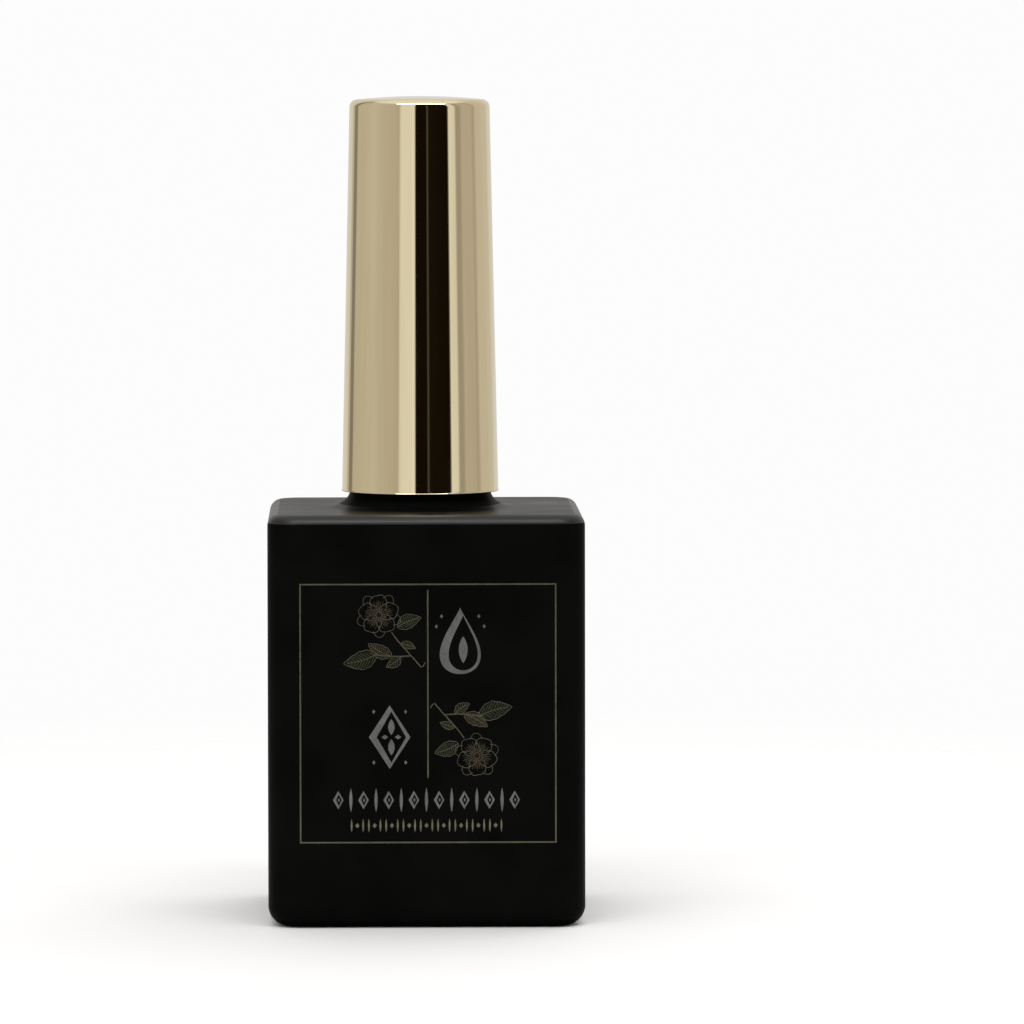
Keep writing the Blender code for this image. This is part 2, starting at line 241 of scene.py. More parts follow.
def make(name, shape, material, body, replaces=(), sharp=32.0):
    """A finished piece: normals out, smooth where it should be, riding."""
    verts, faces = shape
    mesh = bpy.data.meshes.new(name)
    mesh.from_pydata([Vector(v) * MM for v in verts], [], faces)
    bm = bmesh.new()
    bm.from_mesh(mesh)
    bmesh.ops.recalc_face_normals(bm, faces=bm.faces)
    bm.to_mesh(mesh)
    bm.free()
    for face in mesh.polygons:
        face.use_smooth = True
    mesh.set_sharp_from_angle(angle=math.radians(sharp))
    mesh.materials.append(material)
    obj = bpy.data.objects.new(name, mesh)
    bpy.context.scene.collection.objects.link(obj)
    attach(obj, body)
    if replaces:
        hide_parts(*replaces)
    return obj


def lathe(profile, count=ROUND, closed=False):
    """A profile of (radius, z) turned about the neck's axis."""
    return loft([circle(r, z, count) for r, z in profile], closed)


def helix_ridge(root_r, height, low_z, steps=96):
    """A rounded thread ridge that fades at both ends; inward where height is negative."""
    count = int(THREAD_TURNS * steps)
    fade = steps // 5
    sink = -0.2 if height > 0 else 0.2
    rings = []
    for i in range(count + 1):
        angle = 2.0 * math.pi * i / steps
        z = low_z + PITCH * i / steps
        ends = min(1.0, (i + 0.3) / fade, (count - i + 0.3) / fade)
        rise = height * math.sin(ends * math.pi / 2.0)
        section = [(root_r + sink, -THREAD_FOOT * 0.52), (root_r, -THREAD_FOOT * 0.5)]
        for k in range(7):
            share = k / 6.0
            bulge = math.sin(math.pi * share) ** 0.35 if 0 < share < 1 else 0.0
            width = THREAD_FOOT * 0.46 * (1 - bulge) + THREAD_CREST * 0.5 * bulge
            side = -1 if share < 0.5 else 1
            if k == 3:
                side = 0
            section.append((root_r + rise * (0.25 + 0.75 * bulge), side * width))
        section += [(root_r, THREAD_FOOT * 0.5), (root_r + sink, THREAD_FOOT * 0.52)]
        rings.append(
            [(NECK_X + r * math.cos(angle), r * math.sin(angle), z + h) for r, h in section]
        )
    return loft(rings)


# ----------------------------------------------------------------- materials


def math_node(tree, operation, a, b):
    """One maths node; each operand is a number or a socket."""
    node = tree.nodes.new("ShaderNodeMath")
    node.operation = operation
    for socket, value in zip(node.inputs, (a, b)):
        if isinstance(value, float):
            socket.default_value = value
        else:
            tree.links.new(value, socket)
    return node.outputs["Value"]


class Nodes:
    """A Principled material and short ways to wire it."""

    def __init__(self, name):
        self.material = bpy.data.materials.new(name)
        self.material.use_nodes = True
        self.tree = self.material.node_tree
        self.shader = self.tree.nodes["Principled BSDF"]
        self.coord = self.tree.nodes.new("ShaderNodeTexCoord")

    def set(self, **values):
        """Plain values straight on the shader's sockets."""
        for key, value in values.items():
            self.shader.inputs[key.replace("_", " ")].default_value = value

    def link(self, source, target):
        """A wire between two sockets."""
        self.tree.links.new(source, target)

    def mapped(self, scale):
        """Object coordinates, stretched."""
        node = self.tree.nodes.new("ShaderNodeMapping")
        node.inputs["Scale"].default_value = scale
        self.link(self.coord.outputs["Object"], node.inputs["Vector"])
        return node.outputs["Vector"]

    def noise(self, scale, detail=3.0, rough=0.5, vector=None, distortion=0.0):
        """Noise from 0 to 1 in object coordinates."""
        node = self.tree.nodes.new("ShaderNodeTexNoise")
        node.inputs["Scale"].default_value = scale
        node.inputs["Detail"].default_value = detail
        node.inputs["Roughness"].default_value = rough
        node.inputs["Distortion"].default_value = distortion
        self.link(vector or self.coord.outputs["Object"], node.inputs["Vector"])
        return node.outputs["Fac"]

    def ranged(self, value, low, high, start=0.3, end=0.7):
        """Low to high as the value goes from start to end."""
        node = self.tree.nodes.new("ShaderNodeMapRange")
        node.inputs["From Min"].default_value = start
        node.inputs["From Max"].default_value = end
        node.inputs["To Min"].default_value = low
        node.inputs["To Max"].default_value = high
        self.link(value, node.inputs["Value"])
        return node.outputs["Result"]

    def colors(self, value, stops):
        """A colour ramp over the value."""
        node = self.tree.nodes.new("ShaderNodeValToRGB")
        ramp = node.color_ramp
        while len(ramp.elements) < len(stops):
            ramp.elements.new(0.5)
        for element, (place, color) in zip(ramp.elements, stops):
            element.position = place
            element.color = (*color, 1.0)
        self.link(value, node.inputs["Fac"])
        return node.outputs["Color"]

    def math(self, operation, a, b):
        """One maths node in this material."""
        return math_node(self.tree, operation, a, b)

    def base(self, color):
        """The base colour from a socket."""
        self.link(color, self.shader.inputs["Base Color"])

    def rough(self, value):
        """The roughness from a socket."""
        self.link(value, self.shader.inputs["Roughness"])

    def bump(self, height, strength, distance_mm):
        """Fine relief, its depth in millimetres."""
        node = self.tree.nodes.new("ShaderNodeBump")
        node.inputs["Strength"].default_value = strength
        node.inputs["Distance"].default_value = distance_mm * MM
        self.link(height, node.inputs["Height"])
        self.link(node.outputs["Normal"], self.shader.inputs["Normal"])


def tint(name, low, high):
    """A thin wash of dark translucent ink inside the drawn lines."""
    m = Nodes(name)
    m.set(Metallic=0.3, Specular_IOR_Level=0.1)
    patch = m.noise(3200.0, 3.0, 0.65)
    m.base(m.colors(patch, [(0.38, low), (0.62, high)]))
    m.rough(m.ranged(patch, 0.38, 0.5))
    m.bump(m.noise(9000.0, 2.0), 0.2, 0.003)
    return m.material


def lacquer(name, level, roughness, dark=(0.0011, 0.0011, 0.001), pale=(0.0019, 0.0019, 0.0017)):
    """Sprayed matte black lacquer: fine orange peel and a soft sheen."""
    m = Nodes(name)
    m.set(Specular_IOR_Level=level)
    cloud = m.noise(160.0, 2.0)
    grain = m.noise(7000.0, 2.0)
    m.base(m.colors(cloud, [(0.35, dark), (0.65, pale)]))
    mixed = m.math("ADD", cloud, m.math("MULTIPLY", grain, 0.25))
    m.rough(m.ranged(mixed, *roughness, 0.4, 0.8))
    peel = m.math("ADD", m.math("MULTIPLY", m.noise(1500.0, 2.0), 0.7), grain)
    m.bump(peel, 0.35, 0.006)
    return m.material


def neck_lacquer():
    """The thinner, glossier coat on the neck's finish."""
    m = Nodes("neck_lacquer")
    cloud = m.noise(400.0, 2.0)
    m.base(m.colors(cloud, [(0.3, (0.003, 0.003, 0.0028)), (0.7, (0.006, 0.006, 0.0055))]))
    m.rough(m.ranged(cloud, 0.16, 0.26))
    m.bump(m.noise(1200.0, 2.0), 0.2, 0.01)
    return m.material


def gold():
    """Mirror-polished pale gold anodised shell with a faint drawn grain."""
    m = Nodes("gold_anodised")
    m.set(Metallic=1.0)
    streak = m.noise(1.0, 3.0, 0.6, m.mapped((2600.0, 2600.0, 24.0)))
    broad = m.noise(1.0, 2.0, 0.5, m.mapped((700.0, 700.0, 12.0)))
    cloud = m.noise(120.0, 2.0)
    tone = m.math("ADD", m.math("MULTIPLY", streak, 0.45), m.math("MULTIPLY", broad, 0.55))
    m.base(m.colors(tone, [(0.32, (0.675, 0.582, 0.368)), (0.68, (0.745, 0.653, 0.437))]))
    m.rough(m.ranged(m.math("ADD", m.math("MULTIPLY", streak, 0.5), cloud), 0.025, 0.06, 0.5, 1.0))
    m.bump(streak, 0.05, 0.002)
    return m.material


def plastic(name, low, high, roughness=(0.38, 0.5), subsurface=0.1):
    """Moulded polyolefin, slightly waxy, with a fine tool texture."""
    m = Nodes(name)
    m.set(Subsurface_Weight=subsurface, Subsurface_Scale=0.4 * MM)
    cloud = m.noise(500.0, 3.0)
    m.base(m.colors(cloud, [(0.3, low), (0.7, high)]))
    m.rough(m.ranged(cloud, *roughness))
    m.bump(m.noise(4500.0, 2.0), 0.25, 0.008)
    return m.material


def foam():
    """Closed-cell foam washer."""
    m = Nodes("liner_foam")
    m.set(Subsurface_Weight=0.15, Subsurface_Scale=0.3 * MM)
    cell = m.tree.nodes.new("ShaderNodeTexVoronoi")
    cell.inputs["Scale"].default_value = 5200.0
    m.link(m.coord.outputs["Object"], cell.inputs["Vector"])
    spots = cell.outputs["Distance"]
    m.base(m.colors(spots, [(0.0, (0.74, 0.74, 0.7)), (0.6, (0.86, 0.86, 0.83))]))
    m.rough(m.ranged(m.noise(900.0), 0.65, 0.85))
    m.bump(spots, 0.4, 0.02)
    return m.material


def gel(name, low, high, coat=0.6):
    """Navy gel polish: deep, glossy, with a slow swirl of pigment."""
    m = Nodes(name)
    m.set(Coat_Weight=coat, Coat_Roughness=0.03, IOR=1.5)
    swirl = m.noise(260.0, 3.0, 0.55, distortion=1.2)
    m.base(m.colors(swirl, [(0.3, low), (0.7, high)]))
    m.rough(m.ranged(swirl, 0.08, 0.16))
    m.bump(m.noise(350.0, 1.0), 0.08, 0.02)
    return m.material


def nylon():
    """Dark nylon filament with a lengthwise variation."""
    m = Nodes("nylon_bristle")
    run = m.noise(1.0, 2.0, 0.5, m.mapped((4000.0, 4000.0, 120.0)))
    m.base(m.colors(run, [(0.3, (0.012, 0.016, 0.035)), (0.7, (0.035, 0.04, 0.07))]))
    m.rough(m.ranged(run, 0.22, 0.4))
    m.bump(run, 0.2, 0.004)
    return m.material


def ink(name, low, high, roughness):
    """Metallic printing ink: flake speckle on a slightly rough film."""
    m = Nodes(name)
    m.set(Metallic=0.85)
    flake = m.noise(14000.0, 2.0)
    wear = m.noise(900.0, 3.0)
    mixed = m.math("ADD", m.math("MULTIPLY", flake, 0.6), m.math("MULTIPLY", wear, 0.4))
    m.base(m.colors(mixed, [(0.36, low), (0.64, high)]))
    m.rough(m.ranged(mixed, *roughness))
    m.bump(flake, 0.3, 0.004)
    return m.material


def metal(name, low, high, roughness):
    """Bare metal with a fine drawn or tumbled finish."""
    m = Nodes(name)
    m.set(Metallic=1.0)
    cloud = m.noise(1800.0, 3.0)
    m.base(m.colors(cloud, [(0.3, low), (0.7, high)]))
    m.rough(m.ranged(cloud, *roughness))
    m.bump(cloud, 0.1, 0.004)
    return m.material


# -------------------------------------------------------------------- bottle


def body_rings():
    """Rings of the outside, from the middle of the base to the shoulder."""
    rings = [rounded(0.6, 0.6, 0.6, PUSH_UP)]
    for step, share in ((6.2, 0.99), (3.2, 0.95), (2.4, 0.88), (1.8, 0.78),
                        (1.3, 0.6), (0.9, 0.4), (0.45, 0.14), (0.0, 0.0)):
        inset = REST_INSET + step
        rings.append(rounded(HALF_X - inset, HALF_Y - inset, REST_R, PUSH_UP * share))
    inset = REST_INSET - 0.08
    rings.append(rounded(HALF_X - inset, HALF_Y - inset, REST_R, 0.0))
    for x, z in arc(0.0, BASE_R, BASE_R, 270.0, 360.0, 14):
        inset = BASE_R - x
        rings.append(rounded(HALF_X - inset, HALF_Y - inset, PLAN_R - inset, z))
    for z in (BASE_R + 0.15, BODY_H / 2.0, BODY_H - SHOULDER_R - 0.15):
        rings.append(rounded(HALF_X, HALF_Y, PLAN_R, z))
    for x, z in arc(0.0, BODY_H - SHOULDER_R, SHOULDER_R, 0.0, 90.0, 12):
        inset = SHOULDER_R - x
        rings.append(rounded(HALF_X - inset, HALF_Y - inset, PLAN_R - inset, z))
    inset = SHOULDER_R + 0.12
    rings.append(rounded(HALF_X - inset, HALF_Y - inset, PLAN_R - inset, BODY_H))
    return rings


def neck_profile():
    """The neck from the shoulder's flare over the rim and down the bore."""
    profile = [(BOSS_R + FLARE_W + 0.2, BODY_H)]
    for x, z in arc(1.0, 1.0, 1.0, 270.0, 180.0, 18):
        profile.append((BOSS_R + FLARE_W * x, BODY_H + FLARE_H * z))
    edge, root, rim = BOSS_EDGE_R, NECK_ROOT_R, RIM_EDGE_R
    profile += arc(BOSS_R - edge, BOSS_TOP - edge, edge, 0.0, 90.0, 6)
    profile += arc(NECK_R + root, BOSS_TOP + root, root, 270.0, 180.0, 6)
    profile += [(NECK_R, BOSS_TOP + 2.0), (NECK_R, RIM_Z - 1.0)]
    profile += arc(NECK_R - rim, RIM_Z - rim, rim, 0.0, 90.0, 8)
    profile += arc(BORE_R + rim, RIM_Z - rim, rim, 90.0, 180.0, 8)
    profile += [(BORE_R, RIM_Z - 4.0), (BORE_R, CAVITY_TOP + 1.2)]
    profile += [(BORE_R + 0.15, CAVITY_TOP + 0.7), (BORE_R + 0.5, CAVITY_TOP + 0.25)]
    profile += [(BORE_R + 1.2, CAVITY_TOP)]
    return profile


def cavity_rings():
    """Rings of the cavity, from its roof to its floor."""
    half_x = HALF_X - WALL
    half_y = HALF_Y - WALL
    rings = []
    for x, z in arc(0.0, CAVITY_TOP - CAVITY_R, CAVITY_R, 90.0, 0.0, 10):
        inset = CAVITY_R - x
        rings.append(rounded(half_x - inset, half_y - inset, CAVITY_PLAN_R - inset, z))
    for x, z in arc(0.0, FLOOR_Z + FLOOR_R, FLOOR_R, 0.0, -90.0, 10):
        inset = FLOOR_R - x
        rings.append(rounded(half_x - inset, half_y - inset, CAVITY_PLAN_R - inset, z))
    return rings


def coat_index(face):
    """Which coat a face of the bottle wears, by its height and how far out it is."""
    middle = face.center / MM
    off_axis = math.hypot(middle.x - NECK_X, middle.y)
    outside = off_axis > BORE_R + 1.0
    # Painted shade: the lowest share of the base's curve takes the darker, duller foot coat.
    if middle.z < SHADED_FOOT_SHARE * BASE_R:
        return SHADED_FOOT_COAT
    if middle.z > BOSS_TOP - 0.2 and off_axis < BOSS_R - 0.1:
        return NECK_COAT
    if middle.z > BODY_H + 0.3 and outside:
        return WALL_COAT
    if middle.z > BODY_H - 0.02 and outside:
        return SHOULDER_COAT
    if middle.z > BODY_H - EDGE_SHARE * SHOULDER_R and off_axis > BOSS_R + FLARE_W:
        return EDGE_COAT
    return WALL_COAT


def make_bottle(coats):
    """The coated glass body and its thread."""
    rings = body_rings()
    count = len(rings[0])
    rings += [circle(r, z, count) for r, z in neck_profile()]
    rings += cavity_rings()
    obj = make("bottle_glass", loft(rings), coats[WALL_COAT], "bottle",
               ["glass_bottle"])
    for coat in coats[1:]:
        obj.data.materials.append(coat)
    for face in obj.data.polygons:
        face.material_index = coat_index(face)
    ridge = helix_ridge(NECK_R, THREAD_HEIGHT, THREAD_Z)
    make("neck_thread", ridge, coats[NECK_COAT], "bottle")


def make_gel(material):
    """The gel's body: level top with a meniscus climbing the glass."""
    half_x = HALF_X - WALL - GEL_GAP
    half_y = HALF_Y - WALL - GEL_GAP
    rings = []
    low = FLOOR_Z + GEL_GAP
    for x, z in arc(0.0, low + FLOOR_R, FLOOR_R, 270.0, 360.0, 8):
        inset = FLOOR_R - x
        rings.append(rounded(half_x - inset, half_y - inset, CAVITY_PLAN_R - inset, z))
    top = GEL_HIGH.z
    rings.append(rounded(half_x, half_y, CAVITY_PLAN_R, top))
    for inset, drop in ((0.1, 0.05), (0.35, 0.3), (0.8, 0.46), (1.5, 0.54), (3.0, 0.58)):
        rings.append(rounded(half_x - inset, half_y - inset, CAVITY_PLAN_R, top - drop))
    make("gel_body", loft(rings), material, "bottle", ["gel_polish"])


# ----------------------------------------------------------------------- cap


def shell_radius(z):
    """The overcap's outer radius at a height."""
    return CAP_R + (CAP_TOP_R - CAP_R) * (z - CAP_Z) / (CAP_TOP - CAP_Z)


def shell_profile():
    """The overcap's section from the middle of its top to its inside."""
    edge_z = CAP_TOP - CAP_DOME - CAP_EDGE_R
    edge_r = shell_radius(edge_z) - CAP_EDGE_R
    bead = 0.065
    outer = arc(CAP_R - bead + 0.045, CAP_Z + bead, bead, 250.0, 400.0, 10)
    foot = CAP_Z + 2.0 * bead + 0.04
    outer.append((shell_radius(foot) + 0.006, foot))
    outer += [(shell_radius(z), z) for z in (foot + 0.06, foot + 0.14, foot + 0.5)]
    low = CAP_Z + 1.0
    for k in range(17):
        z = low + (edge_z - 0.3 - low) * k / 16.0
        outer.append((shell_radius(z), z))
    outer.append((shell_radius(edge_z - 0.08), edge_z - 0.08))
    outer += arc(edge_r, edge_z, CAP_EDGE_R, 0.0, 84.0, 16)
    top_r, top_z = outer[-1]
    for share in (0.985, 0.92, 0.75, 0.55, 0.35, 0.18, 0.03):
        outer.append((top_r * share, CAP_TOP - (CAP_TOP - top_z) * share * share))
    inner = [
        (shell_radius(CAP_Z) - SHELL + 0.1, CAP_Z + 0.06),
        (shell_radius(CAP_Z + 0.4) - SHELL, CAP_Z + 0.4),
        (edge_r + 0.25, edge_z),
        (edge_r - 0.2, CAP_TOP - CAP_DOME - SHELL),
        (0.12, CAP_TOP - SHELL),
    ]
    return list(reversed(outer)) + inner


def knurled(radius, z, depth):
    """A level ring with small upright teeth round it."""
    return turned_ring(lambda angle: (radius + depth * max(0.0, math.cos(KNURLS * angle)), z))


def closure_rings():
    """Rings of the plastic closure: knurled skirt, ceiling, post and well."""
    top = CEILING_Z + 1.8
    inside = [
        (WELL_R, CEILING_Z - 0.02), (SKIRT_R - 0.3, CEILING_Z), (SKIRT_R, CEILING_Z - 0.3),
        (SKIRT_R, INNER_LOW.z + 0.5), (SKIRT_R + 0.12, INNER_LOW.z),
    ]
    skirt = [
        (SKIRT_OUT - 0.1, INNER_LOW.z, 0.0), (SKIRT_OUT, INNER_LOW.z + 0.3, 0.1),
        (SKIRT_OUT, INNER_LOW.z + 0.8, 0.2), (SKIRT_OUT - 0.1, top - 0.8, 0.2),
        (SKIRT_OUT - 0.12, top - 0.4, 0.0), (SKIRT_OUT - 0.4, top, 0.0),
    ]
    well = [
        (4.6, top + 0.02), (4.3, INNER_HIGH.z), (3.2, INNER_HIGH.z), (3.5, top + 0.4),
        (3.1, top), (2.75, top + 0.02), (2.7, WELL_TOP), (WELL_R, WELL_TOP),
    ]
    rings = [circle(r, z) for r, z in inside]
    rings += [knurled(r, z, depth) for r, z, depth in skirt]
    rings += [circle(r, z) for r, z in well]
    return rings


def rib(index):
    """An upright rib between the closure's post and the shell."""
    low = CEILING_Z + 1.5
    outline = ((4.1, low), (6.5, low), (6.0, INNER_HIGH.z - 0.8),
               (5.45, INNER_HIGH.z - 0.2), (3.8, INNER_HIGH.z - 0.2))
    turn = Matrix.Rotation(2.0 * math.pi * (index + 0.5) / RIBS, 3, "Z")
    rings = []
    for side in (-0.45, 0.45):
        ring = [turn @ Vector((x, side, z)) for x, z in outline]
        rings.append([(v.x + NECK_X, v.y, v.z) for v in ring])
    return loft(rings)


def liner_profile():
    """The washer's section, with its edges eased."""
    low, high = LINER_LOW.z, LINER_HIGH.z
    inner, outer = LINER_HOLE_R, LINER_R
    return [(inner + 0.1, low), (outer - 0.15, low), (outer - 0.04, low + 0.05),
            (outer, low + 0.15), (outer, high - 0.15), (outer - 0.04, high - 0.05),
            (outer - 0.15, high), (inner + 0.1, high), (inner, high - 0.1),
            (inner, low + 0.1)]


def make_cap(shell_gold, white, washer):
    """Overcap, threaded closure and liner."""
    make("overcap_shell", lathe(shell_profile()), shell_gold, "cap",
         ["overcap"], sharp=24.0)
    parts = [loft(closure_rings(), closed=True)]
    parts += [rib(index) for index in range(RIBS)]
    thread_z = THREAD_Z - PITCH / 2.0 - THREAD_PLAY
    parts.append(helix_ridge(SKIRT_R, -CAP_THREAD_HEIGHT, thread_z))
    make("closure", joined(parts), white, "cap", ["inner_cap"])
    make("liner_washer", lathe(liner_profile(), 128, True), washer, "liner",
         ["cap_liner"])


# --------------------------------------------------------------------- brush


def rod_profile():
    """The rod's section: socket, tip, shaft, flared collar and stub."""
    low, high = STEM_LOW.z, STEM_HIGH.z
    profile = [(0.05, SOCKET_TOP + 0.3), (SOCKET_R, SOCKET_TOP), (SOCKET_R, low + 0.3)]
    profile += [(SOCKET_R + 0.08, low), (ROD_TIP_R - 0.08, low)]
    profile += [(ROD_TIP_R - 0.01, low + 0.05), (ROD_TIP_R, low + 0.14)]
    profile.append((ROD_TOP_R, COLLAR_LOW))
    for radius, rise in ((STUB_R, 0.3), (2.3, 0.95), (2.9, 1.52), (3.08, 1.68),
                         (COLLAR_R, 1.85)):
        profile.append((radius, COLLAR_LOW + rise))
    profile += [(COLLAR_R, COLLAR_TOP - 0.15), (COLLAR_R - 0.05, COLLAR_TOP - 0.04)]
    profile += [(COLLAR_R - 0.15, COLLAR_TOP), (STUB_R, COLLAR_TOP + 0.01)]
    profile += [(STUB_R, high - 0.5), (1.5, high - 0.2), (1.27, high), (0.05, high)]
    return profile


def film_ring(radius, z):
    """A ring of the gel film, wavy all round and uneven at its top."""
    calm = 1.0 if z < 29.8 else 0.3
    uneven = 0.3 if z > 29.0 else 0.0

    def section(angle):
        wave = 0.018 * math.sin(3 * angle + z * 0.6) + 0.012 * math.sin(5 * angle - z)
        return radius + wave * calm, z + uneven * math.sin(2 * angle + 0.7)

    return turned_ring(section, BRUSH_ROUND)


def make_stem(white, wet):
    """The brush rod and the film of gel that clings to its lower part."""
    make("brush_rod", lathe(rod_profile(), BRUSH_ROUND), white, "brush_rod",
         ["brush_stem"])
    low = STEM_LOW.z
    film = (
        (1.335, low + 0.02), (1.37, low + 0.25), (1.40, 21.5), (1.43, 23.5),
        (1.42, 25.5), (1.44, 27.2), (1.46, 28.6), (1.47, 29.5), (1.44, 30.1),
        (1.385, 30.45),
    )
    rings = [film_ring(radius, z) for radius, z in film]
    make("rod_film", loft(rings), wet, "brush_rod")


def tuft_radius(z):
    """The bundle's radius at a height, from points (height above the tips, radius)."""
    outline = ((0.0, 0.55), (0.5, 0.95), (1.5, 1.22), (3.4, 1.33), (7.5, 1.28),
               (12.8, 1.08), (14.0, 0.92), (20.0, 0.9))
    height = z - TUFT_LOW.z
    for (a, ra), (b, rb) in zip(outline, outline[1:]):
        if height <= b:
            return ra + (rb - ra) * max(0.0, height - a) / (b - a)
    return outline[-1][1]


def filament(spread, angle, tip_z, lean):
    """One bristle as a thin tube from the rod's hole to its tip."""
    root_z = TUFT_HIGH.z - 0.9
    rings = []
    steps = 9
    for k in range(steps + 1):
        z = root_z + (tip_z - root_z) * k / steps
        r = spread * (tuft_radius(z) - 0.06)
        turn = angle + lean * (root_z - z) / 17.0
        thick = FILAMENT_R if k < steps else FILAMENT_TIP_R
        middle = polar((NECK_X, 0.0), r, turn)
        rings.append([(*polar(middle, thick, side), z) for side in FILAMENT_SIDES])
    return loft(rings)


def gel_ring(share):
    """A ring of the brush's gel, at a share of its height, grooved by the bristles."""
    low = TUFT_LOW.z + 0.16
    z = low + (TUFT_GEL_TOP - low) * share
    scale = 0.93 if share else 0.55

    def section(angle):
        groove = 0.035 * math.sin(19 * angle + 1.5 * math.sin(z)) * min(1.0, share * 4)
        return tuft_radius(z) * scale + groove * 0.7, z

    return turned_ring(section, BRUSH_ROUND)


def make_tuft(bristle, wet):
    """Several hundred filaments, and the gel that they hold."""
    parts = []
    for i in range(BRISTLES):
        spread = math.sqrt((i + 0.5) / BRISTLES)
        angle = i * GOLDEN_ANGLE + RNG.uniform(-0.15, 0.15)
        tip = TUFT_LOW.z + 0.02 + 1.25 * spread ** 3 + RNG.uniform(0.0, 0.22)
        parts.append(filament(spread, angle, tip, RNG.uniform(-0.14, 0.14)))
    make("bristles", joined(parts), bristle, "cap", ["bristle_tuft"])
    steps = 30
    rings = [gel_ring(k / steps) for k in range(steps + 1)]
    make("brush_gel", loft(rings), wet, "cap")


# --------------------------------------------------------------------- print

# Places on the front face: x to the right of the body's middle, z from the ground.
# A sprig has a name, a place and a turn in degrees. The rule and the dots have
# their two ends and their height.
FRAME_BOX = (-11.9, 8.17, 12.13, 32.52)
FRAME_LINE = 0.14
DIVIDER = ((0.1, 14.26), (0.1, 31.99))
DIVIDER_LINE = 0.13
SPRIGS = (("upper", -4.05, 27.9, 0.0), ("lower", 4.25, 18.1, 180.0))
SPRIG_LINE = 0.034
DROP_PLACE = (3.15, 27.2)
LOZENGE_PLACE = (-3.5, 18.12)
RULE_PLACE = (-8.8, 8.7, 12.18)
DOTS_PLACE = (-7.1, 7.0, 9.77)

# Depths of the ink: its back inside the lacquer, its face, and a wash's face
INK_BACK_Y = FRONT_Y + 0.02
INK_Y = FRONT_Y - 0.03
WASH_Y = FRONT_Y - 0.015


def raised(outline, front=INK_Y):
    """A flat shape (x, z) on the front face, raised by the ink's thickness."""
    return loft([[(x, y, z) for x, z in outline] for y in (INK_BACK_Y, front)])


def strip(left, right, closed=True):
    """A raised band between two lines of (x, z), closed round or with two ends."""
    count = len(left)
    verts = [(x, y, z) for y in (INK_BACK_Y, INK_Y) for x, z in (*left, *right)]
    faces = []
    for i in range(count if closed else count - 1):
        j = (i + 1) % count
        back = (i, j, count + j, count + i)
        front = tuple(2 * count + k for k in back)
        faces.append(front)
        faces.append(back[::-1])
        faces.append((back[0], back[1], front[1], front[0]))
        faces.append((front[3], front[2], back[2], back[3]))
    if not closed:
        for i in (0, count - 1):
            faces.append((i, count + i, 3 * count + i, 2 * count + i))
    return verts, faces


def ribbon(points, width, closed=False):
    """A printed line of even width along points (x, z)."""
    count = len(points)
    half = width / 2.0
    left = []
    right = []
    for i, (x, z) in enumerate(points):
        if closed:
            ahead, behind = points[(i + 1) % count], points[i - 1]
        else:
            ahead, behind = points[min(i + 1, count - 1)], points[max(i - 1, 0)]
        dx, dz = ahead[0] - behind[0], ahead[1] - behind[1]
        size = math.hypot(dx, dz) or 1.0
        nx, nz = -dz / size * half, dx / size * half
        left.append((x + nx, z + nz))
        right.append((x - nx, z - nz))
    return strip(left, right, closed)


def bezier(p0, p1, p2, p3, steps=18):
    """Points on a cubic curve."""
    points = []
    for i in range(steps + 1):
        t = i / steps
        a, b, c, d = (1 - t) ** 3, 3 * t * (1 - t) ** 2, 3 * t * t * (1 - t), t ** 3
        points.append((a * p0[0] + b * p1[0] + c * p2[0] + d * p3[0],
                       a * p0[1] + b * p1[1] + c * p2[1] + d * p3[1]))
    return points


def box_frame(x0, z0, x1, z1, width):
    """Four printed bars that meet at mitred corners."""
    h = width / 2.0
    outer = [(x0 - h, z0 - h), (x1 + h, z0 - h), (x1 + h, z1 + h), (x0 - h, z1 + h)]
    inner = [(x0 + h, z0 + h), (x1 - h, z0 + h), (x1 - h, z1 - h), (x0 + h, z1 - h)]
    return strip(outer, inner)


def turned(origin, degrees):
    """A function that turns a local point (u, v) and moves it to the origin."""
    angle = math.radians(degrees)
    ca, sa = math.cos(angle), math.sin(angle)
    return lambda u, v: (origin[0] + u * ca - v * sa, origin[1] + u * sa + v * ca)


